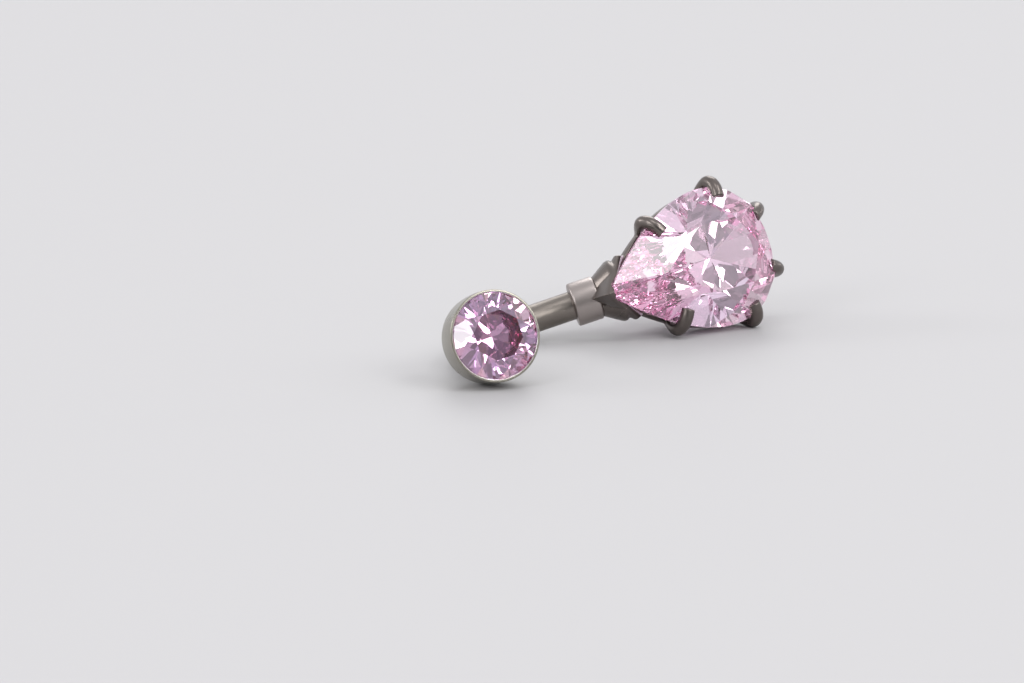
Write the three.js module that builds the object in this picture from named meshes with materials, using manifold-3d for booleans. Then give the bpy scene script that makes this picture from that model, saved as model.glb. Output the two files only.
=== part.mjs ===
// A curved navel barbell: a 14-gauge bar bent to an arc, a round stone in a bezel that screws onto
// its top end, and a large pear-cut stone in a claw setting soldered to its other end.
// It lies on a flat surface as it would by itself: on the back edge of the bezel and on the setting.
import * as THREE from "three";
import { mergeVertices } from "three/addons/utils/BufferGeometryUtils.js";
import Module from "manifold-3d";

const wasm = await Module();
wasm.setup();

// ---- Driving dimensions, in millimetres and degrees ----

// The bar: a round wire bent to an arc, with a short straight stretch at the screwed end.
const BAR_DIAMETER = 1.63;
const ARC_RADIUS = 6.9;
const ARC_HALF_ANGLE = 51.5;
const STRAIGHT_END = 2.3;
const BAR_SIDES = 20;
const BAR_STEPS = 26;

// The screwed joint between the bar and the bezel: a plain pin in a plain hole. The bar's end
// sits in a shallow socket in the bezel's back, so that the flat back round it stays clear.
const PIN_DIAMETER = 0.9;
const PIN_LENGTH = 1.7;
const PIN_CLEARANCE = 0.06;
const SHOULDER_GAP = 0.05;
const SOCKET_DIAMETER = 1.9;
const SOCKET_DEPTH = 0.1;

// The bezel: a cup whose burnished rim holds a round stone.
const BEZEL_DIAMETER = 5.08;
const BEZEL_DEPTH = 2.6;
const BEZEL_BACK_DIAMETER = 4.2;
const BEZEL_OPENING = 4.8;
const RIM_WALL = 0.07;
const SEAT_DEPTH = 0.3;

// The round brilliant in the bezel. Its table is a share of its width, and its pavilion's lower
// facets reach down a share of its depth. Its mains stand at the given angles round the girdle.
const ROUND_DIAMETER = 4.88;
const ROUND_CUT = { table: 0.57, crown: 0.72, pavilion: 2.01, star: 22.5, lower: 0.77 };
const ROUND_MAINS = [22.5, 67.5, 112.5, 157.5, 202.5, 247.5, 292.5, 337.5];

// The pear brilliant in the claw setting. Its angles start at the tip.
const PEAR_LENGTH = 12;
const PEAR_WIDTH = 8;
const PEAR_CUT = { table: 0.56, crown: 1.35, pavilion: 3.5, star: 21, lower: 0.75 };
const PEAR_MAINS = [0, 42, 84, 130, 180, 230, 276, 318];
const GIRDLE = 0.16;
const STONE_CLEARANCE = 0.05;

// The claw setting behind the pear: two rails that follow its outline, claws and a guard at the tip.
const UPPER_RAIL = { outer: 0.95, inner: 0.84, top: -0.9, bottom: -1.5 };
const BASE_RAIL = { outer: 0.6, inner: 0.44, top: -2.9, bottom: -3.7 };
const TIP_GUARD = { outer: 1.035, inner: 0.955, top: 0.4, bottom: -1.3, reach: 2.4 };
const CLAW_DIAMETER = 0.8;
const CLAW_PLACES = [72, 122, 160, 200, 238, 288];
const CLAW_RISE = 0.5;
const CLAW_HOOK = 0.42;
const CLAW_STANDOFF = 0.24;
const CLAW_FOOT = 0.3;

// The collar and the flared cup that join the bar to the setting.
const COLLAR = { diameter: 2.5, length: 1.5 };
const CUP = { diameter: 3.6, length: 1.3 };

// How the setting sits on the bar: the pear's long axis leans away from the bar's end direction.
const SETTING_LEAN = 31;
const TIP_OVERHANG = 2;

// How the whole barbell lies: turned on its side, its chord climbing towards the pear.
const SIDE_LEAN = 68.78;
const CHORD_CLIMB = 1.35;

// Edges shorter than this, left where surfaces cut each other, are merged away.
const FINEST_EDGE = 0.004;

const METAL_COLOUR = 0x8b867d;
const STONE_COLOUR = 0xc391b8;
const ALONG_Z = new THREE.Vector3(0, 0, 1);
const radians = THREE.MathUtils.degToRad;

// ---- From geometry to solids and back ----

function solidOf(geometry) {
  const bare = geometry.clone();
  bare.deleteAttribute("normal");
  bare.deleteAttribute("uv");
  const merged = mergeVertices(bare, 1e-4);
  const corners = merged.index.array;
  const faces = [];
  for (let i = 0; i < corners.length; i += 3) {
    const [a, b, c] = corners.slice(i, i + 3);
    if (a !== b && b !== c && c !== a) faces.push(a, b, c);
  }
  return new wasm.Manifold(new wasm.Mesh({
    numProp: 3,
    vertProperties: Float32Array.from(merged.attributes.position.array),
    triVerts: Uint32Array.from(faces),
  }));
}

function geometryOf(solid) {
  const mesh = solid.simplify(FINEST_EDGE).getMesh();
  const geometry = new THREE.BufferGeometry();
  geometry.setAttribute("position", new THREE.BufferAttribute(Float32Array.from(mesh.vertProperties), 3));
  geometry.setIndex(Array.from(mesh.triVerts));
  geometry.computeVertexNormals();
  return geometry;
}

// A lathe turned about Z from [radius, height] pairs that start and end on the axis.
function turned(profile, sides) {
  const points = profile.map(([radius, height]) => new THREE.Vector2(radius, height));
  return new THREE.LatheGeometry(points, sides).rotateX(Math.PI / 2);
}

// ---- The arc of the bar, in the ring's own frame: chord along X, both ends rising to +Z ----

class BarPath extends THREE.Curve {
  getPoint(t) {
    const arc = 2 * ARC_RADIUS * radians(ARC_HALF_ANGLE);
    const walked = t * (STRAIGHT_END + arc);
    if (walked < STRAIGHT_END) return topEnd.clone().addScaledVector(topOut, STRAIGHT_END - walked);
    return arcPoint(-radians(ARC_HALF_ANGLE) + (walked - STRAIGHT_END) / ARC_RADIUS);
  }
}

function arcPoint(angle) {
  return new THREE.Vector3(ARC_RADIUS * Math.sin(angle), 0, -ARC_RADIUS * Math.cos(angle));
}

const topOut = new THREE.Vector3(-Math.cos(radians(ARC_HALF_ANGLE)), 0, Math.sin(radians(ARC_HALF_ANGLE)));
const dropOut = new THREE.Vector3(-topOut.x, 0, topOut.z);
const topEnd = arcPoint(-radians(ARC_HALF_ANGLE));
const dropEnd = arcPoint(radians(ARC_HALF_ANGLE));
const shoulder = topEnd.clone().addScaledVector(topOut, STRAIGHT_END);

// The place of a piece whose own +Z points along a direction in the ring's plane.
function placeAlong(origin, direction) {
  const turn = new THREE.Quaternion().setFromUnitVectors(ALONG_Z, direction);
  return new THREE.Matrix4().compose(origin, turn, new THREE.Vector3(1, 1, 1));
}

const bezelBack = shoulder.clone().addScaledVector(topOut, SHOULDER_GAP - SOCKET_DEPTH);
const bezelPlace = placeAlong(bezelBack, topOut);
const collarPlace = placeAlong(dropEnd, dropOut);

// ---- The pear's outline: its tip at -X, its round end at +X, widest at two thirds ----

function pearPoint(degrees) {
  const t = radians(degrees);
  const widest = 4 / (3 * Math.sqrt(3));
  const x = -0.5 * PEAR_LENGTH * Math.cos(t);
  const y = (0.5 * PEAR_WIDTH / widest) * Math.sin(t) * Math.abs(Math.sin(t / 2));
  return new THREE.Vector2(x, y);
}

const pearCentre = new THREE.Vector2(PEAR_LENGTH / 6, 0);

function pearOutward(degrees) {
  const step = pearPoint(degrees + 0.5).sub(pearPoint(degrees - 0.5)).normalize();
  const outward = new THREE.Vector2(step.y, -step.x);
  return outward.dot(pearPoint(degrees).sub(pearCentre)) > 0 ? outward : outward.negate();
}

// The outline scaled about the pear's centre, as a closed shape.
function pearShape(scale, points = 64) {
  const corners = [];
  for (let i = 0; i < points; i++) {
    corners.push(pearPoint((360 * i) / points).sub(pearCentre).multiplyScalar(scale).add(pearCentre));
  }
  return corners;
}

function pearBand({ outer, inner, top, bottom }) {
  const shape = new THREE.Shape(pearShape(outer));
  shape.holes.push(new THREE.Path(pearShape(inner).reverse()));
  return new THREE.ExtrudeGeometry(shape, { depth: top - bottom, bevelEnabled: false })
    .translate(0, 0, bottom);
}

// ---- Cut stones: a prism of the stone's outline, ground flat by one facet after another ----

function facing(point, normal, inside) {
  return { point, normal: normal.dot(point.clone().sub(inside)) > 0 ? normal : normal.clone().negate() };
}

// A facet that holds the direction of an edge and a far point.
function facetThrough(edge, along, far, inside) {
  return facing(edge, along.clone().cross(far.clone().sub(edge)).normalize(), inside);
}

// The point where three facets meet.
function meet(...facets) {
  const rows = new THREE.Matrix3().set(...facets.flatMap(({ normal }) => normal.toArray()));
  const offsets = facets.map(({ point, normal }) => normal.dot(point));
  return new THREE.Vector3(...offsets).applyMatrix3(rows.invert());
}

// The facets of a brilliant, set by its outline: the table, a main at each given angle, a star
// between each two mains, two upper girdle facets under each star, and the same below the girdle.
function brilliantFacets(outline, centre, mains, cut) {
  const table = GIRDLE + cut.crown;
  const inside = new THREE.Vector3(centre.x, centre.y, -cut.pavilion / 3);
  const culet = new THREE.Vector3(centre.x, centre.y, -cut.pavilion);
  const at = (angle, height) => new THREE.Vector3(outline(angle).x, outline(angle).y, height);
  const tangent = (angle) => at(angle + 0.5, 0).sub(at(angle - 0.5, 0)).normalize();
  const corner = (angle) => {
    const point = outline(angle).sub(centre).multiplyScalar(cut.table).add(centre);
    return new THREE.Vector3(point.x, point.y, table);
  };
  const crown = mains.map((a) => facetThrough(at(a, GIRDLE), tangent(a), corner(a), inside));
  const base = mains.map((a) => facetThrough(at(a, 0), tangent(a), culet, inside));
  const lowLevel = { point: culet.clone().setZ(-cut.pavilion * cut.lower), normal: ALONG_Z };
  const between = mains.flatMap((first, i) => {
    const j = (i + 1) % mains.length;
    const span = (mains[j] - first + 360) % 360;
    const side = corner(mains[j]).sub(corner(first));
    const flat = new THREE.Vector3(side.y, -side.x, 0).normalize();
    if (flat.dot(corner(first).sub(inside)) < 0) flat.negate();
    const leaning = flat.multiplyScalar(Math.sin(radians(cut.star)));
    const star = facing(corner(first), leaning.setZ(Math.cos(radians(cut.star))), inside);
    const apex = meet(crown[i], crown[j], star);
    const low = meet(base[i], base[j], lowLevel);
    const halves = [first + span / 4, first + (3 * span) / 4].flatMap((a) => [
      facetThrough(at(a, GIRDLE), tangent(a), apex, inside),
      facetThrough(at(a, 0), tangent(a), low, inside),
    ]);
    return [star, ...halves];
  });
  return [{ point: culet.clone().setZ(table), normal: ALONG_Z }, ...crown, ...base, ...between];
}

function ground(rough, facets, clearance) {
  return facets.reduce((stone, { point, normal }) =>
    stone.trimByPlane(normal.clone().negate().toArray(), -normal.dot(point) - clearance), rough);
}

// A round brilliant, its girdle's underside at height 0.
function roundBrilliant(clearance = 0) {
  const radius = ROUND_DIAMETER / 2;
  const circle = (degrees) =>
    new THREE.Vector2(radius * Math.cos(radians(degrees)), radius * Math.sin(radians(degrees)));
  const rough = solidOf(new THREE.CylinderGeometry(
    radius + clearance, radius + clearance, ROUND_DIAMETER, 64).rotateX(Math.PI / 2));
  return ground(rough, brilliantFacets(circle, new THREE.Vector2(), ROUND_MAINS, ROUND_CUT), clearance);
}

// A pear brilliant, its girdle's underside at height 0.
function pearBrilliant(clearance = 0) {
  const outline = pearShape(1, 96).map((corner, i) =>
    corner.clone().addScaledVector(pearOutward((360 * i) / 96), clearance));
  const rough = solidOf(new THREE.ExtrudeGeometry(new THREE.Shape(outline), {
    depth: 2 * PEAR_CUT.pavilion, bevelEnabled: false,
  }).translate(0, 0, -PEAR_CUT.pavilion - clearance));
  return ground(rough, brilliantFacets(pearPoint, pearCentre, PEAR_MAINS, PEAR_CUT), clearance);
}

// ---- The bezel: cup, burnished rim and plain pin, one solid of revolution ----

function bezelSolid() {
  const rim = BEZEL_DIAMETER / 2;
  const back = BEZEL_BACK_DIAMETER / 2;
  const opening = BEZEL_OPENING / 2;
  const groove = rim - RIM_WALL;
  const girdle = BEZEL_DEPTH - SEAT_DEPTH;
  const pin = PIN_DIAMETER / 2;
  const pinEnd = SOCKET_DEPTH - PIN_LENGTH;
  const socket = SOCKET_DIAMETER / 2;
  const chamfer = 0.15;
  const floor = 0.35;
  const profile = [
    [0, pinEnd], [pin - chamfer, pinEnd], [pin, pinEnd + chamfer], [pin, SOCKET_DEPTH],
    [socket, SOCKET_DEPTH], [socket, 0], [back, 0], [back + 0.2, 0.08], [rim - 0.1, 0.42],
    [rim - 0.04, 0.8], [rim, girdle - 0.5], [rim, BEZEL_DEPTH - 0.12],
    [rim - 0.05, BEZEL_DEPTH - 0.02], [opening + 0.02, BEZEL_DEPTH], [opening, BEZEL_DEPTH - 0.03],
    [groove, girdle + 0.16], [groove, girdle - 0.12], [0, floor],
  ];
  const seat = roundBrilliant(STONE_CLEARANCE).translate(0, 0, girdle);
  return solidOf(turned(profile, 48)).subtract(seat);
}

// ---- The bar with its soldered setting ----

function barSolid() {
  const section = new THREE.Shape().absarc(0, 0, BAR_DIAMETER / 2, 0, 2 * Math.PI);
  const wire = solidOf(new THREE.ExtrudeGeometry(section, {
    steps: BAR_STEPS, curveSegments: BAR_SIDES / 2, extrudePath: new BarPath(), bevelEnabled: false,
  }));
  const hole = PIN_DIAMETER / 2 + PIN_CLEARANCE;
  const depth = PIN_LENGTH + PIN_CLEARANCE;
  const bore = new THREE.CylinderGeometry(hole, hole, 2 * depth, 24).rotateX(Math.PI / 2);
  return wire.subtract(solidOf(bore.applyMatrix4(placeAlong(shoulder, topOut))));
}

function collarSolid() {
  const wire = BAR_DIAMETER / 2;
  const ring = COLLAR.diameter / 2;
  const cup = CUP.diameter / 2;
  const end = COLLAR.length + CUP.length;
  const profile = [
    [0, -0.5], [wire * 0.9, -0.5], [wire, 0], [ring - 0.2, 0], [ring, 0.2], [ring, COLLAR.length - 0.2],
    [ring - 0.15, COLLAR.length], [cup - 0.1, end - 0.35], [cup, end - 0.2], [cup, end], [0, end],
  ];
  return solidOf(turned(profile, 32).applyMatrix4(collarPlace));
}

// The setting's own frame: the girdle's underside at height 0, the tip towards the bar.
function clawSolid(degrees) {
  const radius = CLAW_DIAMETER / 2;
  const outward = pearOutward(degrees);
  const at = (scale, push, height) => {
    const point = pearPoint(degrees).sub(pearCentre).multiplyScalar(scale).add(pearCentre);
    point.addScaledVector(outward, push);
    return new THREE.Vector3(point.x, point.y, height);
  };
  const base = (BASE_RAIL.outer + BASE_RAIL.inner) / 2;
  const rail = (UPPER_RAIL.outer + UPPER_RAIL.inner) / 2;
  const tip = at(1, -CLAW_HOOK, GIRDLE + CLAW_RISE);
  const path = new THREE.CatmullRomCurve3([
    at(base, 0, BASE_RAIL.bottom + CLAW_FOOT), at(rail, 0, UPPER_RAIL.bottom),
    at(1, CLAW_STANDOFF, -0.3), at(1, CLAW_STANDOFF, GIRDLE + 0.1), tip,
  ]);
  const section = new THREE.Shape().absarc(0, 0, radius, 0, 2 * Math.PI);
  const claw = solidOf(new THREE.ExtrudeGeometry(section, {
    steps: 12, curveSegments: 5, extrudePath: path, bevelEnabled: false,
  }));
  return claw.add(solidOf(new THREE.SphereGeometry(radius, 10, 8).translate(tip.x, tip.y, tip.z)));
}

function settingSolid() {
  const guard = solidOf(pearBand(TIP_GUARD)).trimByPlane([-1, 0, 0], PEAR_LENGTH / 2 - TIP_GUARD.reach);
  const rails = solidOf(pearBand(UPPER_RAIL)).add(solidOf(pearBand(BASE_RAIL)));
  const claws = CLAW_PLACES.map(clawSolid).reduce((all, claw) => all.add(claw));
  return rails.add(guard).add(claws);
}

// The setting is turned so that the tip meets the cup, its face leaning from the bar's direction.
function settingPlace() {
  const lean = radians(ARC_HALF_ANGLE - SETTING_LEAN);
  const along = new THREE.Vector3(Math.cos(lean), 0, Math.sin(lean));
  const face = new THREE.Vector3(-along.z, 0, along.x);
  const across = face.clone().cross(along);
  const seat = dropEnd.clone().addScaledVector(dropOut, COLLAR.length + CUP.length);
  const tipInset = PEAR_LENGTH / 2 - TIP_OVERHANG;
  const origin = seat.addScaledVector(along, tipInset).addScaledVector(face, -UPPER_RAIL.bottom);
  return new THREE.Matrix4().makeBasis(along, across, face).setPosition(origin);
}

// ---- The pieces ----

function piece(name, geometry, colour, roughness, metalness) {
  const material = new THREE.MeshStandardMaterial({ color: colour, roughness, metalness });
  const mesh = new THREE.Mesh(geometry, material);
  mesh.name = name;
  return mesh;
}

const settingMatrix = settingPlace();
const bezelGirdle = BEZEL_DEPTH - SEAT_DEPTH;
const setting = solidOf(geometryOf(settingSolid()).applyMatrix4(settingMatrix));
const pearSeat = solidOf(geometryOf(pearBrilliant(STONE_CLEARANCE)).applyMatrix4(settingMatrix));
const curvedBar = barSolid().add(collarSolid()).add(setting).subtract(pearSeat);
const roundStone = geometryOf(roundBrilliant().translate(0, 0, bezelGirdle));

const ring = new THREE.Group();
ring.add(piece("curved_bar", geometryOf(curvedBar), METAL_COLOUR, 0.25, 1));
ring.add(piece("top_bezel", geometryOf(bezelSolid()).applyMatrix4(bezelPlace), METAL_COLOUR, 0.2, 1));
ring.add(piece("top_stone", roundStone.applyMatrix4(bezelPlace), STONE_COLOUR, 0.02, 0));
ring.add(piece("drop_stone", geometryOf(pearBrilliant()).applyMatrix4(settingMatrix), STONE_COLOUR, 0.02, 0));

// ---- How it lies: rolled about its chord, then the chord lifted, then set down on the surface ----

const rolled = new THREE.Group();
rolled.rotation.x = radians(SIDE_LEAN);
rolled.add(ring);
const climbing = new THREE.Group();
climbing.rotation.y = -radians(CHORD_CLIMB);
climbing.add(rolled);

const navelRing = new THREE.Group();
navelRing.add(climbing);
navelRing.updateMatrixWorld(true);
const reach = new THREE.Box3().setFromObject(navelRing, true);
navelRing.position.set(-(reach.min.x + reach.max.x) / 2, -(reach.min.y + reach.max.y) / 2, -reach.min.z);
navelRing.updateMatrixWorld(true);

export default navelRing;
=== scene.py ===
# %% [markdown]
# # A curved navel barbell with two pink stones
# A bar bent to an arc carries a round stone in a screwed bezel at one end and a pear-cut stone in a
# claw setting at the other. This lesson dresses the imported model, with the same named sizes. Each
# piece is modelled in millimetres in the ring's own frame, where the bar's chord lies along X and
# both ends rise to +Z. One matrix then lays the finished mesh down on the floor.

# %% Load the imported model
import math
import random

import bmesh
import bpy
from mathutils import Matrix, Vector


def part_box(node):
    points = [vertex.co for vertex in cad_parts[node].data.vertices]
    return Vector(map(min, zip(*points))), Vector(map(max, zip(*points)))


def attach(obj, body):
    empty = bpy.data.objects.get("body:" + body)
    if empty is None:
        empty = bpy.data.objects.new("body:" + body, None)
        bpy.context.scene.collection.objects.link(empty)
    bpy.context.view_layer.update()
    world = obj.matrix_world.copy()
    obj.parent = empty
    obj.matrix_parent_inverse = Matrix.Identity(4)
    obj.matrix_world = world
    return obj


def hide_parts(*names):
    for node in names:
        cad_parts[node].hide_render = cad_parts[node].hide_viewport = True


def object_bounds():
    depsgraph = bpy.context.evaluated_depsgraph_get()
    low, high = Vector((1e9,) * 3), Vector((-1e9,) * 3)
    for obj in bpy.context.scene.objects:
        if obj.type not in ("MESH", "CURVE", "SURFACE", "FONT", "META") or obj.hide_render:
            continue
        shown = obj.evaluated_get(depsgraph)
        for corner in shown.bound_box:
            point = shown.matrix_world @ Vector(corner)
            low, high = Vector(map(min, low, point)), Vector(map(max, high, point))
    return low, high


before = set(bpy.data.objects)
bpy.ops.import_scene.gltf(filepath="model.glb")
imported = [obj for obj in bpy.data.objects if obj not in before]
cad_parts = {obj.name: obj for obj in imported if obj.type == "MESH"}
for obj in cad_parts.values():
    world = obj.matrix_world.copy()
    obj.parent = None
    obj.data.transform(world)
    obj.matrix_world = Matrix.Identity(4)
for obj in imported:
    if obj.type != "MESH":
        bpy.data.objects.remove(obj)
cad_low, cad_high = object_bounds()
print("nodes:", ", ".join(sorted(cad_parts)))

# %% [markdown]
# ## The ring's own frame
# A 14 gauge bar is bent to an arc of 6.9 mm radius, with a short straight stretch at its screwed
# end. The two end directions place everything else, so they are worked out once, from the same few
# sizes that a maker would give a bench jeweller.

# %% The arc of the bar and its two ends
BAR_DIAMETER = 1.63
ARC_RADIUS = 6.9
ARC_HALF_ANGLE = math.radians(51.5)
STRAIGHT_END = 2.3
SHOULDER_GAP = 0.05
SOCKET_DEPTH = 0.1

Z_AXIS = Vector((0, 0, 1))
top_out = Vector((-math.cos(ARC_HALF_ANGLE), 0, math.sin(ARC_HALF_ANGLE)))
drop_out = Vector((math.cos(ARC_HALF_ANGLE), 0, math.sin(ARC_HALF_ANGLE)))


def arc_point(angle):
    return Vector((ARC_RADIUS * math.sin(angle), 0, -ARC_RADIUS * math.cos(angle)))


def stand_along(origin, direction):
    """The place of a piece whose own +Z points along a direction."""
    return Matrix.Translation(origin) @ Z_AXIS.rotation_difference(direction).to_matrix().to_4x4()


drop_end = arc_point(ARC_HALF_ANGLE)
shoulder = arc_point(-ARC_HALF_ANGLE) + STRAIGHT_END * top_out
bezel_place = stand_along(shoulder + (SHOULDER_GAP - SOCKET_DEPTH) * top_out, top_out)
collar_place = stand_along(drop_end, drop_out)
print("shoulder of the bar at", [round(c, 2) for c in shoulder], "mm")

# %% [markdown]
# ## Small tools for meshes and node trees
# Every piece goes the same way: a mesh in millimetres, its finishes, then it is laid down and
# attached.
#
# Node trees are built with one short helper, which links a socket where it is given a socket and
# sets a value where it is given a value.

# %% Make, show and bake a mesh
MM = 0.001


def mesh_of(name, corners, faces):
    mesh = bpy.data.meshes.new(name)
    mesh.from_pydata([tuple(c) for c in corners], [], faces)
    mesh.update()
    return mesh


def show(name, mesh):
    shown = bpy.data.objects.new(name, mesh)
    bpy.context.scene.collection.objects.link(shown)
    return shown


def baked(carrier, name):
    """The plain mesh that an object's modifiers make. The object itself is taken away."""
    seen = carrier.evaluated_get(bpy.context.evaluated_depsgraph_get())
    mesh = bpy.data.meshes.new_from_object(seen)
    mesh.name = name
    bpy.data.objects.remove(carrier)
    return mesh


def centre_and_size(corners):
    """The centre and the size of the box round some corners."""
    low = Vector([min(c[i] for c in corners) for i in range(3)])
    high = Vector([max(c[i] for c in corners) for i in range(3)])
    return (low + high) / 2, high - low


# %% Build node trees
def node(tree, kind, inputs=None, **settings):
    made = tree.nodes.new(kind)
    for key, value in settings.items():
        setattr(made, key, value)
    for socket, value in (inputs or {}).items():
        if isinstance(value, bpy.types.NodeSocket):
            tree.links.new(value, made.inputs[socket])
        else:
            made.inputs[socket].default_value = value
    return made


def math_node(tree, operation, first, second=0.0):
    return node(tree, "ShaderNodeMath", {0: first, 1: second}, operation=operation).outputs[0]


def shape_tree(name, sizes):
    """An empty Geometry Nodes tree with a named input for each size."""
    tree = bpy.data.node_groups.new(name, "GeometryNodeTree")
    tree.interface.new_socket("Geometry", in_out="INPUT", socket_type="NodeSocketGeometry")
    for label, kind in sizes.items():
        tree.interface.new_socket(label, in_out="INPUT", socket_type="NodeSocket" + kind)
    tree.interface.new_socket("Geometry", in_out="OUTPUT", socket_type="NodeSocketGeometry")
    return tree, node(tree, "NodeGroupInput")


def end_tree(tree, start, shape):
    real = node(tree, "GeometryNodeRealizeInstances", {"Geometry": shape}).outputs[0]
    dressed = node(tree, "GeometryNodeSetMaterial",
                   {"Geometry": real, "Material": start.outputs["Material"]}).outputs[0]
    node(tree, "NodeGroupOutput", {"Geometry": dressed})


def grown(tree, name, mesh, **values):
    """Runs a shape tree over a mesh. A word's underscores stand for the spaces of an input's name."""
    carrier = show(name, mesh)
    modifier = carrier.modifiers.new(name, "NODES")
    modifier.node_group = tree
    for item in tree.interface.items_tree:
        key = item.name.lower().replace(" ", "_")
        if item.in_out == "INPUT" and key in values:
            modifier[item.identifier] = values[key]
    return baked(carrier, name)


# %% [markdown]
# ## Metal
# The bar and the setting are polished titanium: a grey that is a little warm, with the fine lines
# that a polishing wheel leaves and a haze of handling. One node group makes those lines and that
# haze for every metal piece, and each material gives it its own scale and strength. The group puts
# out masks and a height only, and the shader stays in the material.

# %% A node group for polishing lines and handling haze
LINES_SHARE = 0.35


def shader_group(name, inputs, outputs):
    group = bpy.data.node_groups.new(name, "ShaderNodeTree")
    for label, kind, value in inputs:
        socket = group.interface.new_socket(label, in_out="INPUT", socket_type="NodeSocket" + kind)
        socket.default_value = value
    for label, kind in outputs:
        group.interface.new_socket(label, in_out="OUTPUT", socket_type="NodeSocket" + kind)
    return group, node(group, "NodeGroupInput")


def make_polish_group():
    group, start = shader_group(
        "polish_and_haze",
        [("Line Scale", "Float", 1500.0), ("Haze Scale", "Float", 220.0),
         ("Roughness Low", "Float", 0.12), ("Roughness High", "Float", 0.24)],
        [("Height", "Float"), ("Roughness", "Float"), ("Haze", "Float")])
    place = node(group, "ShaderNodeTexCoord").outputs["Object"]
    stretch = node(group, "ShaderNodeMapping",
                   {"Vector": place, "Rotation": (0.4, 0.9, 0.2), "Scale": (1.0, 0.12, 1.0)})
    lines = node(group, "ShaderNodeTexNoise",
                 {"Vector": stretch.outputs[0], "Scale": start.outputs["Line Scale"],
                  "Detail": 3.0, "Roughness": 0.6})
    haze = node(group, "ShaderNodeTexNoise",
                {"Vector": place, "Scale": start.outputs["Haze Scale"], "Detail": 4.0})
    clouds = node(group, "ShaderNodeMapRange",
                  {"Value": haze.outputs[0], "From Min": 0.35, "From Max": 0.68})
    from_lines = math_node(group, "MULTIPLY", lines.outputs[0], LINES_SHARE)
    from_haze = math_node(group, "MULTIPLY", clouds.outputs[0], 1 - LINES_SHARE)
    both = math_node(group, "ADD", from_lines, from_haze)
    rough = node(group, "ShaderNodeMapRange",
                 {"Value": both, "To Min": start.outputs["Roughness Low"],
                  "To Max": start.outputs["Roughness High"]})
    node(group, "NodeGroupOutput",
         {"Height": lines.outputs[0], "Roughness": rough.outputs[0], "Haze": clouds.outputs[0]})
    return group


polish_group = make_polish_group()


# %% The metal finishes
SCRATCH_DEPTH = 0.00001


def metal(name, clean, dull, rough_low, rough_high, line_scale, relief):
    material = bpy.data.materials.new(name)
    material.use_nodes = True
    tree = material.node_tree
    shader = tree.nodes["Principled BSDF"]
    shader.inputs["Metallic"].default_value = 1.0
    polish = node(tree, "ShaderNodeGroup", node_tree=polish_group)
    polish.inputs["Line Scale"].default_value = line_scale
    polish.inputs["Roughness Low"].default_value = rough_low
    polish.inputs["Roughness High"].default_value = rough_high
    colour = node(tree, "ShaderNodeMix", data_type="RGBA")
    tree.links.new(polish.outputs["Haze"], colour.inputs["Factor"])
    colour.inputs["A"].default_value = (*clean, 1)
    colour.inputs["B"].default_value = (*dull, 1)
    bump = node(tree, "ShaderNodeBump", {"Height": polish.outputs["Height"]})
    bump.inputs["Strength"].default_value = relief
    bump.inputs["Distance"].default_value = SCRATCH_DEPTH
    tree.links.new(colour.outputs["Result"], shader.inputs["Base Color"])
    tree.links.new(polish.outputs["Roughness"], shader.inputs["Roughness"])
    tree.links.new(bump.outputs[0], shader.inputs["Normal"])
    return material


# name, clean colour, dull colour, lowest and highest roughness, scale of the lines, relief
bar_metal = metal("polished_bar", (0.28, 0.25, 0.224), (0.2, 0.178, 0.158), 0.24, 0.42, 2600, 0.3)
collar_metal = metal("turned_collar", (0.42, 0.375, 0.355), (0.33, 0.29, 0.275), 0.28, 0.44, 2600, 0.3)
setting_metal = metal("cast_setting", (0.2, 0.174, 0.16), (0.13, 0.112, 0.103), 0.2, 0.38, 2200, 0.35)
# Painted light: the seats under the stones are painted pale pink, far lighter than the rest of the metal, to
# brighten the stones from behind. Only the high roughness is a real frosted finish.
seat_painted_light = metal("frosted_seat", (0.95, 0.86, 0.91), (0.86, 0.77, 0.82), 0.7, 0.9, 2200, 0.2)
# The lip's bright line is a painted highlight: a metal far lighter than the bezel's, and a little smoother.
lip_painted_highlight = metal("burnished_lip", (0.86, 0.84, 0.82), (0.74, 0.72, 0.7), 0.12, 0.22, 3200, 0.1)
bezel_metal = metal("turned_bezel", (0.41, 0.388, 0.338), (0.32, 0.302, 0.258), 0.16, 0.3, 3200, 0.2)
print("metals:", ", ".join(m.name for m in (bar_metal, collar_metal, setting_metal, seat_painted_light,
                                             lip_painted_highlight, bezel_metal)))

# %% [markdown]
# ## Pink stones
# Both stones are cubic zirconia, pink right through. Its light bends far more than in glass, so the
# index is 2.16, and the colour comes twice: a little at each facet, and the rest with depth, from a
# plain absorption inside the stone. Such a stone also splits light into colours. The renderer bends
# all colours alike, so each facet is given one of a few tints, from blue violet to peach, as painted
# fire that costs nothing. The deepest tints are painted shade.

# %% The stones' material
ZIRCONIA_INDEX = 2.16


def pink_stone(name, tints, depth_colour, density):
    """Tints are rows of a share of the facets and a colour; each facet draws one of them."""
    material = bpy.data.materials.new(name)
    material.use_nodes = True
    tree = material.node_tree
    shader = tree.nodes["Principled BSDF"]
    shader.inputs["Transmission Weight"].default_value = 1.0
    shader.inputs["IOR"].default_value = ZIRCONIA_INDEX
    shader.inputs["Roughness"].default_value = 0.0
    facets = node(tree, "ShaderNodeAttribute", attribute_name="facet_tint")
    colours = node(tree, "ShaderNodeValToRGB", {"Fac": facets.outputs["Fac"]})
    colours.color_ramp.interpolation = "CONSTANT"
    start = 0.0
    for i, (share, tint) in enumerate(tints):
        stops = colours.color_ramp.elements
        stop = stops[i] if i < len(stops) else stops.new(start)
        stop.position = start
        stop.color = (*tint, 1)
        start += share
    tree.links.new(colours.outputs["Color"], shader.inputs["Base Color"])
    depth = node(tree, "ShaderNodeVolumeAbsorption")
    depth.inputs["Color"].default_value = (*depth_colour, 1)
    depth.inputs["Density"].default_value = density
    tree.links.new(depth.outputs[0], tree.nodes["Material Output"].inputs["Volume"])
    return material


# The tint rows are painted fire, and the first and deepest row is painted shade.
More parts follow.
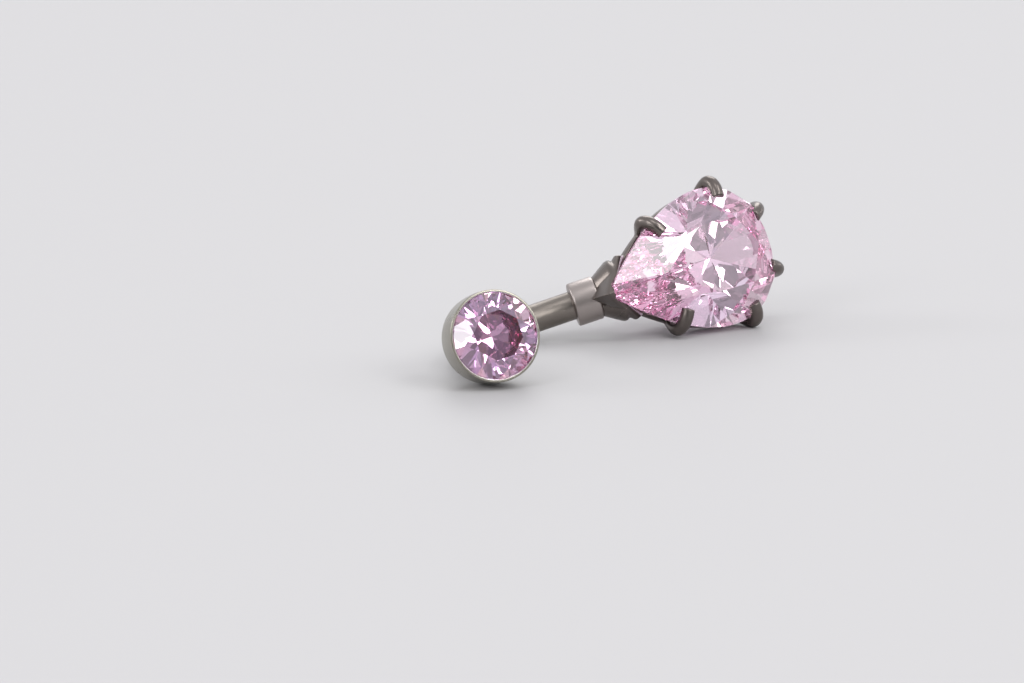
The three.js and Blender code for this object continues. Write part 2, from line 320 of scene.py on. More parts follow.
round_pink = pink_stone("round_stone_pink", [
    (0.18, (0.44, 0.34, 0.6)), (0.17, (0.76, 0.74, 1.0)), (0.3, (0.88, 0.69, 0.88)),
    (0.22, (0.94, 0.67, 0.8)), (0.13, (1.0, 0.9, 0.82))], (0.9, 0.5, 0.66), 160)
pear_pink = pink_stone("pear_stone_pink", [
    (0.1, (0.72, 0.44, 0.62)), (0.18, (0.9, 0.87, 1.0)), (0.3, (1.0, 0.88, 0.98)),
    (0.27, (1.0, 0.79, 0.9)), (0.15, (1.0, 0.95, 0.92))], (0.97, 0.6, 0.8), 45)
print("stones:", round_pink.name, pear_pink.name)

# %% [markdown]
# ## The bar
# On the real piece the bar is one length of round wire, bent over a mandrel. It could be a curve
# with a bevel, but its shape is a rule, a straight stretch and then an arc, so Geometry Nodes walk
# along it: each point's distance from the end says whether it stands on the line or on the arc.

# %% A tree that bends a round wire
def make_bar_tree():
    tree, start = shape_tree("bent_wire", {
        "Wire Diameter": "Float", "Arc Radius": "Float", "Half Angle": "Float",
        "Straight Length": "Float", "Steps": "Int", "Sides": "Int", "Material": "Material"})
    size = start.outputs
    arc = math_node(tree, "MULTIPLY", math_node(tree, "MULTIPLY", size["Arc Radius"], size["Half Angle"]), 2)
    whole = math_node(tree, "ADD", arc, size["Straight Length"])
    line = node(tree, "GeometryNodeCurvePrimitiveLine")
    steps = node(tree, "GeometryNodeResampleCurve", {"Curve": line.outputs[0], "Count": size["Steps"]})
    share = node(tree, "GeometryNodeSplineParameter").outputs["Factor"]
    walked = math_node(tree, "SUBTRACT", math_node(tree, "MULTIPLY", share, whole), size["Straight Length"])
    turned = math_node(tree, "DIVIDE", math_node(tree, "MAXIMUM", walked, 0), size["Arc Radius"])
    angle = math_node(tree, "SUBTRACT", turned, size["Half Angle"])
    left = math_node(tree, "MAXIMUM", math_node(tree, "MULTIPLY", walked, -1), 0)
    across = math_node(tree, "MULTIPLY", math_node(tree, "SINE", angle), size["Arc Radius"])
    up = math_node(tree, "MULTIPLY", math_node(tree, "COSINE", angle), size["Arc Radius"])
    out_x = math_node(tree, "MULTIPLY", left, math_node(tree, "COSINE", size["Half Angle"]))
    out_z = math_node(tree, "MULTIPLY", left, math_node(tree, "SINE", size["Half Angle"]))
    place = node(tree, "ShaderNodeCombineXYZ", {
        "X": math_node(tree, "SUBTRACT", across, out_x), "Z": math_node(tree, "SUBTRACT", out_z, up)})
    path = node(tree, "GeometryNodeSetPosition",
                {"Geometry": steps.outputs[0], "Position": place.outputs[0]})
    section = node(tree, "GeometryNodeCurvePrimitiveCircle", {
        "Resolution": size["Sides"], "Radius": math_node(tree, "DIVIDE", size["Wire Diameter"], 2)})
    wire = node(tree, "GeometryNodeCurveToMesh", {
        "Curve": path.outputs[0], "Profile Curve": section.outputs[0], "Fill Caps": True})
    end_tree(tree, start, wire.outputs[0])
    return tree


# %% Bend the wire and bore its end for the bezel's pin
PIN_DIAMETER = 0.9
PIN_LENGTH = 1.7
PIN_CLEARANCE = 0.06


def cut_away(mesh, tool, name):
    """The mesh less the tool, both in the same frame. The tool's mesh is used up."""
    body, cutter = show(name, mesh), show(name + "_tool", tool)
    cut = body.modifiers.new("cut", "BOOLEAN")
    cut.operation = "DIFFERENCE"
    cut.solver = "EXACT"
    # The claws' swept tubes overlap themselves. Without this the solver loses some of them and
    # leaves others uncut, and says nothing.
    cut.use_self = True
    cut.object = cutter
    result = baked(body, name)
    bpy.data.objects.remove(cutter)
    return result


ON_AXIS = 1e-6


def turned_on_axis(name, profile, segments):
    """A closed solid turned about Z from rows of radius and height that start and end on the axis."""
    rings = []
    corners = []
    for radius, height in profile:
        count = 1 if radius < ON_AXIS else segments
        rings.append(range(len(corners), len(corners) + count))
        for i in range(count):
            turn = 2 * math.pi * i / segments
            corners.append((radius * math.cos(turn), radius * math.sin(turn), height))
    faces = []
    for low, high in zip(rings, rings[1:]):
        for i in range(segments):
            j = (i + 1) % segments
            ring = [low[i % len(low)], low[j % len(low)], high[j % len(high)], high[i % len(high)]]
            face = list(dict.fromkeys(ring))
            if len(face) > 2:
                faces.append(face)
    return mesh_of(name, corners, faces)


wire = grown(make_bar_tree(), "bar_wire", bpy.data.meshes.new("bar_wire"),
             wire_diameter=BAR_DIAMETER, arc_radius=ARC_RADIUS, half_angle=ARC_HALF_ANGLE,
             straight_length=STRAIGHT_END, steps=140, sides=64, material=bar_metal)
bore_radius = PIN_DIAMETER / 2 + PIN_CLEARANCE
bore_depth = PIN_LENGTH + PIN_CLEARANCE
BORE_OVERRUN = 1
bore_rows = [(0, -bore_depth), (bore_radius, -bore_depth), (bore_radius, BORE_OVERRUN), (0, BORE_OVERRUN)]
bore = turned_on_axis("bore", bore_rows, segments=48)
bore.transform(stand_along(shoulder, top_out))
wire = cut_away(wire, bore, "bar_wire")
print("bar:", len(wire.polygons), "faces")

# %% [markdown]
# ## The bezel
# The round stone sits in a turned cup. Its wall is burnished over the girdle into a thin lip, whose
# bright line is a painted highlight: the lip gets a far lighter copy of the bezel's metal, with a
# little less roughness. A lathe profile is the natural way: a short table of radius, height and
# corner rounding, run through one function that rounds the corners and another that turns it.

# %% Round the corners of a profile
def rounded(rows, steps=5):
    """Rows of radius, height and corner rounding become a profile with an arc at each corner.

    Two arcs that meet in the middle of an edge both end on the same point.
    """
    profile = []
    for i, (radius, height, soft) in enumerate(rows):
        here = Vector((radius, height))
        if soft == 0 or i in (0, len(rows) - 1):
            profile.append(tuple(here))
            continue
        before = Vector(rows[i - 1][:2]) - here
        after = Vector(rows[i + 1][:2]) - here
        reach = min(soft, before.length / 2, after.length / 2)
        first, last = here + before.normalized() * reach, here + after.normalized() * reach
        for k in range(steps + 1):
            t = k / steps
            profile.append(tuple((1 - t) ** 2 * first + 2 * t * (1 - t) * here + t * t * last))
    return profile


# %% Turn the bezel with its pin
BEZEL_DIAMETER = 5.08
BEZEL_DEPTH = 2.6
BEZEL_BACK_DIAMETER = 4.2
BEZEL_OPENING = 4.8
RIM_WALL = 0.07
LIP = 0.045
SEAT_DEPTH = 0.3
CULET_CLEARANCE = 0.08
SHOULDER_INSET = 0.08
SHOULDER_RISE = 0.45
WALL_ROUNDING = 0.6
SOCKET_DIAMETER = 1.9
ROUND_DIAMETER = 4.88
ROUND_CUT = {"table": 0.57, "crown": 0.72, "pavilion": 2.01, "girdle": 0.16,
             "star": math.radians(22.5), "lower": 0.77}

rim, back, pin = BEZEL_DIAMETER / 2, BEZEL_BACK_DIAMETER / 2, PIN_DIAMETER / 2
pin_end = SOCKET_DEPTH - PIN_LENGTH
groove = rim - RIM_WALL
girdle_height = BEZEL_DEPTH - SEAT_DEPTH
cup_floor = girdle_height - ROUND_CUT["pavilion"] - CULET_CLEARANCE
bezel_rows = [
    # radius, height, rounding of the corner
    (0, pin_end, 0),
    (pin, pin_end, 0.15),
    (pin, SOCKET_DEPTH, 0),
    (SOCKET_DIAMETER / 2, SOCKET_DEPTH, 0.02),
    (SOCKET_DIAMETER / 2, 0, 0.04),
    (back, 0, 0.3),
    (rim - SHOULDER_INSET, SHOULDER_RISE, 0.35),
    (rim, girdle_height - WALL_ROUNDING, 0.5),
    (rim, BEZEL_DEPTH, 0.14),
    (BEZEL_OPENING / 2, BEZEL_DEPTH, 0.012),
    (BEZEL_OPENING / 2 - LIP, BEZEL_DEPTH - LIP, 0.008),
    (groove, girdle_height + 0.2, 0.02),
    (groove, girdle_height - 0.03, 0.03),
    (0, cup_floor, 0),
]
bezel = turned_on_axis("bezel_cup", rounded(bezel_rows), segments=192)
for finish in (bezel_metal, lip_painted_highlight, seat_painted_light):
    bezel.materials.append(finish)
BODY, PAINTED_HIGHLIGHT, FROSTED_PAINTED_LIGHT = range(3)
# The faces of the lip get the painted highlight, a metal far lighter than the bezel's own.
PAINTED_HIGHLIGHT_RADIUS = BEZEL_OPENING / 2 + 0.005
PAINTED_HIGHLIGHT_FOOT = BEZEL_DEPTH - 1.3 * LIP
# The faces round the round stone's seat get the same painted light, a pale pink far lighter than the bezel.
SEAT_RADIUS = groove + 0.001
for polygon in bezel.polygons:
    radius, height = polygon.center.xy.length, polygon.center.z
    faces_stone = polygon.normal.dot(Z_AXIS * girdle_height - polygon.center) > 0
    if radius < PAINTED_HIGHLIGHT_RADIUS and height > PAINTED_HIGHLIGHT_FOOT:
        polygon.material_index = PAINTED_HIGHLIGHT
    elif faces_stone and height > cup_floor and radius < SEAT_RADIUS:
        polygon.material_index = FROSTED_PAINTED_LIGHT
    else:
        polygon.material_index = BODY
bezel.transform(bezel_place)
print("bezel:", len(bezel.polygons), "faces, wall at the rim", RIM_WALL, "mm")
print("faces of each finish:", [sum(p.material_index == i for p in bezel.polygons) for i in range(3)])

# %% [markdown]
# ## The cut stones
# A brilliant is a rough solid with flat facets ground on it, so it is made that way here. Planes
# cut a prism of the stone's outline: a table, the crown's mains, a star between each two mains, two
# upper girdle facets under each star, and mains and lower girdle facets on the pavilion. The same
# function cuts the round stone and the pear, because each facet is set by the outline alone.

# %% Where the facets of a brilliant lie
# Degrees to either side of a point of an outline, between which its direction is measured.
NUDGE = 0.5


def plane_through(edge, along, far):
    """The facet that holds an edge's direction and a far point. It may face in or out."""
    normal = along.cross(far - edge).normalized()
    return edge, normal


def meet(first, second, third):
    """The point where three facets meet."""
    rows = Matrix([facet[1] for facet in (first, second, third)])
    return rows.inverted() @ Vector([facet[1].dot(facet[0]) for facet in (first, second, third)])


def brilliant_facets(outline, centre, mains, cut):
    """Facets as (point, outward normal), from an outline of an angle and a few measures of the cut."""
    def tangent(angle):
        return (outline(angle + NUDGE) - outline(angle - NUDGE)).normalized()

    def facing(facet):
        """The same facet, turned to face away from a point inside the stone."""
        point, normal = facet
        inside = Vector((*centre, -cut["pavilion"] / 3))
        return (point, normal) if normal.dot(point - inside) > 0 else (point, -normal)

    def lifted(point, height):
        return Vector((point.x, point.y, height))

    middle = Vector((*centre, 0))
    girdle, table = cut["girdle"], cut["girdle"] + cut["crown"]
    culet = lifted(middle, -cut["pavilion"])
    count = len(mains)
    corners = [middle + cut["table"] * (outline(a) - middle) for a in mains]
    crown = [facing(plane_through(lifted(outline(a), girdle), tangent(a), lifted(c, table)))
             for a, c in zip(mains, corners)]
    base = [facing(plane_through(lifted(outline(a), 0), tangent(a), culet)) for a in mains]
    facets = [(lifted(middle, table), Z_AXIS)] + crown + base
    low_plane = (lifted(middle, -cut["pavilion"] * cut["lower"]), Z_AXIS)
    for i in range(count):
        j = (i + 1) % count
        first, last = mains[i], mains[j] + (360 if j == 0 else 0)
        side = corners[j] - corners[i]
        flat = Vector((side.y, -side.x, 0)).normalized()
        flat = flat if flat.dot(corners[i] - middle) > 0 else -flat
        star = facing((lifted(corners[i], table),
                       flat * math.sin(cut["star"]) + Z_AXIS * math.cos(cut["star"])))
        apex = meet(crown[i], crown[j], star)
        low = meet(base[i], base[j], low_plane)
        facets.append(star)
        for angle in (first + (last - first) / 4, last - (last - first) / 4):
            along = tangent(angle)
            facets.append(facing(plane_through(lifted(outline(angle), girdle), along, apex)))
            facets.append(facing(plane_through(lifted(outline(angle), 0), along, low)))
    return facets


# %% Grind the facets on a prism
ROUGH_POINTS = 96
ON_PLANE = 1e-5
WELD = 1e-4


def ground(name, outline, facets, half_height, seed):
    corners = [outline(360 * i / ROUGH_POINTS) for i in range(ROUGH_POINTS)]
    rough = bmesh.new()
    low = [rough.verts.new((c.x, c.y, -half_height)) for c in corners]
    high = [rough.verts.new((c.x, c.y, half_height)) for c in corners]
    rough.faces.new(low)
    rough.faces.new(high)
    for i in range(ROUGH_POINTS):
        j = (i + 1) % ROUGH_POINTS
        rough.faces.new((low[i], low[j], high[j], high[i]))
    bmesh.ops.recalc_face_normals(rough, faces=rough.faces)
    for point, normal in facets:
        everything = rough.verts[:] + rough.edges[:] + rough.faces[:]
        cut = bmesh.ops.bisect_plane(rough, geom=everything, dist=ON_PLANE, plane_co=point,
                                     plane_no=normal, clear_outer=True)
        rim_edges = [e for e in cut["geom_cut"] if isinstance(e, bmesh.types.BMEdge)]
        if rim_edges:
            bmesh.ops.edgeloop_fill(rough, edges=rim_edges)
    bmesh.ops.remove_doubles(rough, verts=rough.verts, dist=WELD)
    bmesh.ops.dissolve_degenerate(rough, edges=rough.edges, dist=WELD)
    bmesh.ops.recalc_face_normals(rough, faces=rough.faces)
    mesh = bpy.data.meshes.new(name)
    rough.to_mesh(mesh)
    rough.free()
    chance = random.Random(seed)
    # Each facet draws one tint: painted fire, and in the deepest row painted shade.
    tint = mesh.attributes.new("facet_tint", "FLOAT", "FACE")
    for value in tint.data:
        value.value = chance.random()
    return mesh


# %% Cut the round stone
# Both seeds were picked for where the tints fall: a middle one on each table, and most of the deep
# ones, which are painted shade, near the round stone's rim and the pear's round end.
ROUND_TINT_SEED = 2285
PEAR_TINT_SEED = 3814
ROUND_MAINS = [22.5 + 45 * i for i in range(8)]


def circle(angle):
    turn = math.radians(angle)
    return Vector((math.cos(turn), math.sin(turn), 0)) * ROUND_DIAMETER / 2


round_facets = brilliant_facets(circle, (0, 0), ROUND_MAINS, ROUND_CUT)
round_stone = ground("round_brilliant", circle, round_facets, half_height=3.0, seed=ROUND_TINT_SEED)
round_stone.materials.append(round_pink)
round_stone.transform(bezel_place @ Matrix.Translation((0, 0, girdle_height)))
print("round stone:", len(round_facets), "facets,", len(round_stone.polygons), "faces with the girdle's")

# %% Cut the pear stone
PEAR_LENGTH = 12
PEAR_WIDTH = 8
PEAR_CUT = {"table": 0.56, "crown": 1.35, "pavilion": 3.5, "girdle": 0.16,
            "star": math.radians(21), "lower": 0.75}
PEAR_MAINS = [0, 42, 84, 130, 180, 230, 276, 318]
pear_centre = Vector((PEAR_LENGTH / 6, 0, 0))


def pear(angle):
    """The pear's outline: its tip at -X, its round end at +X, widest at two thirds."""
    turn = math.radians(angle)
    # The most that sin(turn) * sin(turn / 2) comes to.
    widest = 4 / (3 * math.sqrt(3))
    width = 0.5 * PEAR_WIDTH / widest * math.sin(turn) * abs(math.sin(turn / 2))
    return Vector((-0.5 * PEAR_LENGTH * math.cos(turn), width, 0))


def pear_outward(angle):
    step = (pear(angle + NUDGE) - pear(angle - NUDGE)).normalized()
    outward = Vector((step.y, -step.x, 0))
    return outward if outward.dot(pear(angle) - pear_centre) > 0 else -outward


SETTING_LEAN = math.radians(31)
TIP_OVERHANG = 2
COLLAR = {"diameter": 2.5, "length": 1.5}
CUP = {"diameter": 3.6, "length": 1.3}
UPPER_RAIL = {"outer": 0.95, "inner": 0.84, "top": -0.9, "bottom": -1.5}
BASE_RAIL = {"outer": 0.6, "inner": 0.44, "top": -2.9, "bottom": -3.7}
TIP_GUARD = {"outer": 1.035, "inner": 0.955, "top": 0.4, "bottom": -1.3}

lean = ARC_HALF_ANGLE - SETTING_LEAN
along = Vector((math.cos(lean), 0, math.sin(lean)))
face = Vector((-along.z, 0, along.x))
across = face.cross(along)
setting_origin = (drop_end + drop_out * (COLLAR["length"] + CUP["length"])
                  + along * (PEAR_LENGTH / 2 - TIP_OVERHANG) - face * UPPER_RAIL["bottom"])
setting_place = Matrix.Translation(setting_origin) @ Matrix((along, across, face)).transposed().to_4x4()

pear_facets = brilliant_facets(pear, (pear_centre.x, 0), PEAR_MAINS, PEAR_CUT)
pear_stone = ground("pear_brilliant", pear, pear_facets, half_height=4.5, seed=PEAR_TINT_SEED)
pear_stone.materials.append(pear_pink)
seat_tool = pear_stone.copy()
pear_stone.transform(setting_place)
print("pear stone:", len(pear_facets), "facets,", len(pear_stone.polygons), "faces with the girdle's")

# %% [markdown]
# ## The claw setting
# The setting is cast in one piece: two rails follow the pear's outline, six claws rise through them
# and bend over the crown, and a V-shaped guard holds the fragile tip. Each part is modelled closed.
# The stone's seat is cut from the claws, the guard and the cup, and a fine voxel remesh fuses all of
# them with the small fillets that casting and polishing leave. The claws repeat, so one Geometry
# Nodes tree sweeps them all.

# %% Rails and guard
# The power that squares a rounded section: 1 is an ellipse, and 0 would be a rectangle.
SQUARENESS = 0.45


def band(name, outer, inner, top, bottom, first=0, last=360, steps=120, sides=20, fall=0.0):
    """A bar with a rounded section that follows the outline. Its top may fall towards its ends."""
    closed = last - first == 360
    count = steps if closed else steps + 1
    corners, faces = [], []
    for i in range(count):
        spoke = pear(first + (last - first) * i / steps) - pear_centre
        crest = top - fall * (2 * i / steps - 1) ** 2
        for k in range(sides):
            turn = 2 * math.pi * k / sides
            u, v = math.cos(turn), math.sin(turn)
            u = math.copysign(abs(u) ** SQUARENESS, u)
            v = math.copysign(abs(v) ** SQUARENESS, v)
            scale = (outer + inner) / 2 + (outer - inner) / 2 * u
            height = (crest + bottom) / 2 + (crest - bottom) / 2 * v
            corners.append(pear_centre + scale * spoke + height * Z_AXIS)
    for i in range(steps):
        low, high = i * sides, ((i + 1) % count) * sides
        for k in range(sides):
            j = (k + 1) % sides
            faces.append((low + k, high + k, high + j, low + j))
    if not closed:
        faces.append(tuple(range(sides)))
        faces.append(tuple(reversed(range(steps * sides, count * sides))))
    return mesh_of(name, corners, faces)


GUARD_REACH = 53
GUARD_FALL = 1.35
upper_rail = band("upper_rail", **UPPER_RAIL)
base_rail = band("base_rail", **BASE_RAIL)
tip_guard = band("tip_guard", **TIP_GUARD, first=-GUARD_REACH, last=GUARD_REACH, steps=60,
                 fall=GUARD_FALL)

# %% A tree that sweeps tapered claws with rounded tips
BLUNT_END = 0.01


def make_claw_tree():
    tree, start = shape_tree("claws", {
        "Claw Diameter": "Float", "Foot Share": "Float", "Tip Share": "Float", "Round Share": "Float",
        "Steps": "Int", "Sides": "Int", "Material": "Material"})
    size = start.outputs
    lines = node(tree, "GeometryNodeMeshToCurve", {"Mesh": size["Geometry"]})
    spline = node(tree, "GeometryNodeCurveSplineType", {"Curve": lines.outputs[0]},
                  spline_type="CATMULL_ROM")
    smooth = node(tree, "GeometryNodeSetSplineResolution", {"Geometry": spline.outputs[0], "Resolution": 12})
    steps = node(tree, "GeometryNodeResampleCurve", {"Curve": smooth.outputs[0], "Count": size["Steps"]})
    share = node(tree, "GeometryNodeSplineParameter").outputs["Factor"]
    taper = node(tree, "ShaderNodeMapRange", {
        "Value": share, "To Min": size["Foot Share"], "To Max": size["Tip Share"]})
    bare = math_node(tree, "SUBTRACT", 1, size["Round Share"])
    into = math_node(tree, "DIVIDE", math_node(tree, "SUBTRACT", share, bare), size["Round Share"])
    dome = math_node(tree, "SUBTRACT", 1, math_node(tree, "POWER", math_node(tree, "MAXIMUM", into, 0), 2))
    round_off = math_node(tree, "SQRT", math_node(tree, "MAXIMUM", dome, BLUNT_END))
    radius = math_node(tree, "MULTIPLY", taper.outputs[0], round_off)
    sized = node(tree, "GeometryNodeSetCurveRadius", {"Curve": steps.outputs[0], "Radius": radius})
    section = node(tree, "GeometryNodeCurvePrimitiveCircle", {
        "Resolution": size["Sides"], "Radius": math_node(tree, "DIVIDE", size["Claw Diameter"], 2)})
    claws = node(tree, "GeometryNodeCurveToMesh", {
        "Curve": sized.outputs[0], "Profile Curve": section.outputs[0], "Fill Caps": True})
    end_tree(tree, start, claws.outputs[0])
    return tree


# %% Lay out the six claws
CLAW_DIAMETER = 0.8
CLAW_PLACES = [72, 122, 160, 200, 238, 288]
CLAW_STAND = CLAW_DIAMETER * 0.3
CLAW_HOOK = 0.42
GIRDLE = PEAR_CUT["girdle"]
CLAW_PATH = [
    # share of the outline, push outwards, height
    ((BASE_RAIL["outer"] + BASE_RAIL["inner"]) / 2, 0, BASE_RAIL["bottom"] + 0.25),
    (UPPER_RAIL["outer"] * 0.9, 0, UPPER_RAIL["bottom"]),
    (1, CLAW_STAND, -0.3),
    (1, CLAW_STAND * 0.9, GIRDLE + 0.1),
    (1, -CLAW_HOOK * 0.4, GIRDLE + 0.46),
    (1, -CLAW_HOOK - 0.3, GIRDLE + 0.62),
]


def claw_line(angle):
    """The claw's path: from the base rail, through the upper rail, past the girdle and over the crown."""
    spoke = pear(angle) - pear_centre
    outward = pear_outward(angle)
    return [pear_centre + share * spoke + push * outward + height * Z_AXIS
            for share, push, height in CLAW_PATH]


claw_corners, claw_edges = [], []
for place in CLAW_PLACES:
    line = claw_line(place)
    first = len(claw_corners)
    claw_corners += line
    claw_edges += [(first + k, first + k + 1) for k in range(len(line) - 1)]
claw_lines = bpy.data.meshes.new("claw_lines")
claw_lines.from_pydata([tuple(c) for c in claw_corners], claw_edges, [])
claws = grown(make_claw_tree(), "claws", claw_lines, claw_diameter=CLAW_DIAMETER, foot_share=0.95,
              tip_share=0.9, round_share=0.075, steps=150, sides=24, material=setting_metal)
print("claws:", len(CLAW_PLACES), "with", len(claws.polygons), "faces before the seat is cut")

# %% The collar and the cup that carry the setting
collar_radius, cup_radius = COLLAR["diameter"] / 2, CUP["diameter"] / 2
wire_radius = BAR_DIAMETER / 2
cup_end = COLLAR["length"] + CUP["length"]
COLLAR_LAP = 0.05
CUP_LAP = 0.1
collar_rows = [
    # radius, height, rounding of the corner
    (0, -COLLAR_LAP, 0),
    (wire_radius + 0.01, -COLLAR_LAP, 0.01),
    (wire_radius + 0.16, 0.0, 0.12),
    (collar_radius, 0.0, 0.22),
    (collar_radius, COLLAR["length"], 0.16),
    (0, COLLAR["length"], 0),
]
collar = turned_on_axis("bar_collar", rounded(collar_rows), segments=96)
collar.materials.append(collar_metal)
collar.transform(collar_place)
cup_rows = [
    (0, COLLAR["length"] - CUP_LAP, 0),
    (collar_radius - 0.15, COLLAR["length"] - CUP_LAP, 0.05),
    (cup_radius, cup_end - 0.3, 0.3),
    (cup_radius, cup_end, 0.15),
    (0, cup_end, 0),
]
cup = turned_on_axis("cup", rounded(cup_rows), segments=72)
cup.transform(setting_place.inverted() @ collar_place)

# %% Cut the stone's seat and fuse the casting
SEAT_SCALE = 1.006
VOXEL = 0.055

seat_tool.transform(Matrix.Translation(pear_centre) @ Matrix.Scale(SEAT_SCALE, 4)
                    @ Matrix.Translation(-pear_centre))
parts = [cut_away(part, seat_tool.copy(), part.name) for part in (claws, tip_guard, cup)]
parts += [upper_rail, base_rail]


def fused(name, meshes, voxel, smoothing):
    """One skin round several overlapping solids, with the corners between them softened."""
    whole = bmesh.new()
    for mesh in meshes:
        whole.from_mesh(mesh)
    joined = bpy.data.meshes.new(name)
    whole.to_mesh(joined)
    whole.free()
    carrier = show(name, joined)
    skin = carrier.modifiers.new("skin", "REMESH")
    skin.mode = "VOXEL"
    skin.voxel_size = voxel
    soften = carrier.modifiers.new("soften", "SMOOTH")
    soften.factor = 0.5
    soften.iterations = smoothing
    return baked(carrier, name)


setting = fused("pear_setting", parts, VOXEL, smoothing=5)
setting.materials.clear()
setting.materials.append(setting_metal)
print("setting:", len(setting.polygons), "faces")

# %% [markdown]
# ## A frosted seat with painted light
# The metal under the stone is left frosted, and it is painted pale pink, far lighter than the rest
# of the casting. That is painted light, so that the seat throws a soft light back through the stone
# where it lies in shade. It is the same casting, so it gets a second material and no new mesh: the
# faces that look at the stone from inside its outline.

# %% Paint light on the faces under the stone
STONE_HEART = pear_centre - 0.8 * Z_AXIS
PAINTED_LIGHT_SHARE = 0.98
PAINTED_LIGHT_TOP = 0.1


def under_the_stone(spot):
    """Whether a spot lies inside the pear's outline, drawn in a little."""
    grown_spot = (spot - pear_centre) / PAINTED_LIGHT_SHARE + pear_centre
    share = -grown_spot.x / (PEAR_LENGTH / 2)
    return abs(share) < 1 and abs(grown_spot.y) < pear(math.degrees(math.acos(share))).y


setting.materials.append(seat_painted_light)
# These faces get the seat's painted light, a pale pink far lighter than the casting.
for polygon in setting.polygons:
    towards = (STONE_HEART - polygon.center).normalized()
    polygon.material_index = int(polygon.normal.dot(towards) > 0 and polygon.center.z < PAINTED_LIGHT_TOP
                                 and under_the_stone(polygon.center))
print("frosted faces:", sum(p.material_index for p in setting.polygons))
setting.transform(setting_place)

# %% [markdown]
# ## Lay everything down
# The barbell lies on its side. The bar and one claw touch the floor, and the bezel's rounded back
# edge clears it by 0.03 mm. The matrix that lays it down turns the ring about its chord and lifts
# the chord a little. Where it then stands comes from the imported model: the centre of the pear's
# box. The pear has the same facets in both models, while the rounder parts have finer outlines
# here, and so other boxes.

# %% The matrix from the ring's frame to the floor
SIDE_LEAN = math.radians(68.78)
CHORD_CLIMB = math.radians(1.35)

lying = Matrix.Rotation(-CHORD_CLIMB, 4, "Y") @ Matrix.Rotation(SIDE_LEAN, 4, "X")
stone_low, stone_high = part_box("drop_stone")
own_centre, own_size = centre_and_size([lying @ v.co for v in pear_stone.vertices])
ring_to_floor = (Matrix.Translation((stone_low + stone_high) / 2)
                 @ Matrix.Scale(MM, 4) @ Matrix.Translation(-own_centre) @ lying)
print("pear box differs by", [round(a / MM - b, 3) for a, b in zip(stone_high - stone_low, own_size)], "mm")


# %% Hand the pieces over
CREASE = math.radians(35)


def hand_over(name, mesh, smooth, slot_name, *nodes):
    """Smooth is False for facets, True for soft metal and "crisp" for turned metal with edges."""
    mesh.transform(ring_to_floor)
    if smooth:
        mesh.shade_smooth()
    else:
        mesh.shade_flat()
    if smooth == "crisp":
        mesh.set_sharp_from_angle(angle=CREASE)
    mesh.name = name
    piece = show(name, mesh)
    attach(piece, "root")
    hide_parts(*nodes)
    return piece


hand_over("bar_wire", wire, "crisp", "bar_metal", "curved_bar")
hand_over("bar_collar", collar, "crisp", "bar_metal", "curved_bar")
hand_over("pear_setting", setting, True, "bar_metal", "curved_bar")
hand_over("bezel_cup", bezel, "crisp", "bezel_metal", "top_bezel")
hand_over("round_brilliant", round_stone, False, "round_stone", "top_stone")
hand_over("pear_brilliant", pear_stone, False, "pear_stone", "drop_stone")

# %% [markdown]
# ## Studio
# The ring is shown on a wide pale floor in soft light. Cut stones live on contrast, so the room
# round them isn't evenly bright: its far side glows, the side that their tables mirror stays dark,
# and a few soft boxes stand in the dark, where single facets catch them.

# %% Floor
FLOOR_HALF = 2.0
FLOOR_COLOUR = (0.495, 0.487, 0.49, 1)


def make_floor():
    corners = [(-FLOOR_HALF, -FLOOR_HALF, 0), (FLOOR_HALF, -FLOOR_HALF, 0),
               (FLOOR_HALF, FLOOR_HALF, 0), (-FLOOR_HALF, FLOOR_HALF, 0)]
    floor = show("floor", mesh_of("floor", corners, [(0, 1, 2, 3)]))
    material = bpy.data.materials.new("pale_floor")
    material.use_nodes = True
    tree = material.node_tree
    shader = tree.nodes["Principled BSDF"]
    shader.inputs["Base Color"].default_value = FLOOR_COLOUR
    shader.inputs["Roughness"].default_value = 0.6
    shader.inputs["Specular IOR Level"].default_value = 0.2
    floor.data.materials.append(material)


make_floor()

# %% Camera
CAMERA_AZIMUTH = math.radians(-58)
CAMERA_ELEVATION = math.radians(11.7)
CAMERA_DISTANCE = 0.3
CAMERA_LENS = 194.7
AIM_RIGHT = 0.9 * MM
AIM_UP = -0.31 * MM


def direction(azimuth, elevation):
    """From the object towards a viewer at that azimuth and elevation."""
    level = math.cos(elevation)
    return Vector((math.sin(azimuth) * level, -math.cos(azimuth) * level, math.sin(elevation)))


towards_viewer = direction(CAMERA_AZIMUTH, CAMERA_ELEVATION)
view_right = Vector((math.cos(CAMERA_AZIMUTH), math.sin(CAMERA_AZIMUTH), 0))
view_up = towards_viewer.cross(view_right)
bezel_face = ring_to_floor @ bezel_place @ Vector((0, 0, BEZEL_DEPTH))
aim = bezel_face + AIM_RIGHT * view_right + AIM_UP * view_up
camera = bpy.data.objects.new("camera", bpy.data.cameras.new("camera"))
bpy.context.scene.collection.objects.link(camera)
camera.data.lens = CAMERA_LENS
camera.data.clip_start = 0.01
camera.location = aim + CAMERA_DISTANCE * towards_viewer
camera.rotation_mode = "QUATERNION"
camera.rotation_quaternion = (-towards_viewer).to_track_quat("-Z", "Y")
bpy.context.scene.camera = camera

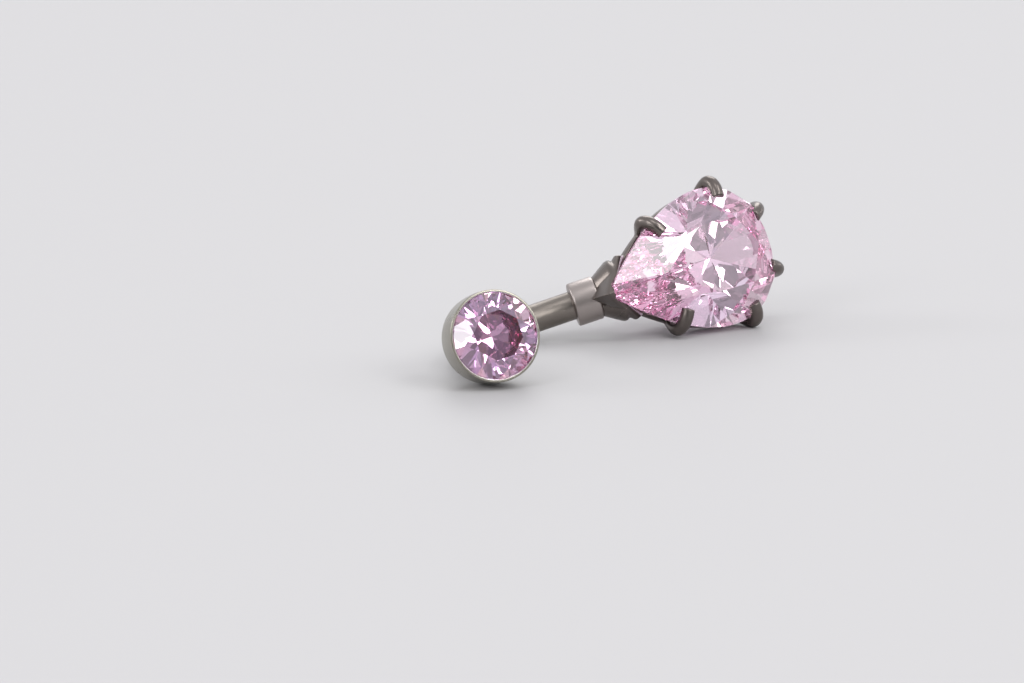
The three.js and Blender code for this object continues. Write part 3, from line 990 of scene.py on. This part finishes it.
# %% Soft boxes
SOFT_BOXES = [
    # name, azimuth, elevation, distance m, width m, height m, brightness
    ("key", -98, 29, 1.5, 0.46, 0.5, 4.5),
    ("top", -45, 71, 1.5, 0.4, 0.4, 3.0),
    ("front_high", 12, 53, 1.5, 0.5, 0.28, 6.0),
    ("front", -15, 32.5, 1.5, 0.78, 0.5, 4.5),
    ("front_right", 24, 27, 1.5, 0.16, 0.14, 7.0),
    ("front_low", -27, 4.5, 1.5, 0.1, 0.1, 9.0),
    ("side", 61, 14, 1.5, 0.12, 0.2, 7.0),
    ("back", 120, 40, 1.8, 0.9, 0.9, 3.0),
    ("rear", -150, 25, 1.5, 0.5, 0.4, 5.0),
    ("left_low", -104, 6, 1.5, 0.12, 0.14, 9.0),
]

centre = (cad_low + cad_high) / 2
for name, azimuth, elevation, distance, width, height, brightness in SOFT_BOXES:
    lamp = bpy.data.lights.new(name, "AREA")
    lamp.shape = "RECTANGLE"
    lamp.size, lamp.size_y = width, height
    lamp.energy = brightness * math.pi * width * height
    box_light = bpy.data.objects.new(name, lamp)
    bpy.context.scene.collection.objects.link(box_light)
    outwards = direction(math.radians(azimuth), math.radians(elevation))
    box_light.location = centre + distance * outwards
    box_light.rotation_mode = "QUATERNION"
    box_light.rotation_quaternion = (-outwards).to_track_quat("-Z", "Y")


# %% The room's own light, bright at the back and dark in front
DARK_AZIMUTH = math.radians(-38)
DARK_ELEVATION = math.radians(13)


def make_room(back_level, front_level, dark_from, dark_to):
    world = bpy.data.worlds.new("room")
    bpy.context.scene.world = world
    world.use_nodes = True
    tree = world.node_tree
    ray = node(tree, "ShaderNodeTexCoord").outputs["Generated"]
    dark_way = direction(DARK_AZIMUTH, DARK_ELEVATION)
    near = node(tree, "ShaderNodeVectorMath", {0: ray, 1: tuple(dark_way)}, operation="DOT_PRODUCT")
    shade = node(tree, "ShaderNodeMapRange", {
        "Value": near.outputs["Value"], "From Min": dark_from, "From Max": dark_to,
        "To Min": back_level, "To Max": front_level}, interpolation_type="SMOOTHSTEP")
    tree.links.new(shade.outputs[0], tree.nodes["Background"].inputs["Strength"])
    tree.nodes["Background"].inputs["Color"].default_value = (0.96, 0.965, 1.0, 1)


make_room(back_level=0.93, front_level=0.27, dark_from=0.74, dark_to=0.93)

# %% How light is traced and shown
scene = bpy.context.scene
scene.view_settings.view_transform = "Standard"
scene.cycles.max_bounces = 40
scene.cycles.transmission_bounces = 24
scene.cycles.glossy_bounces = 36
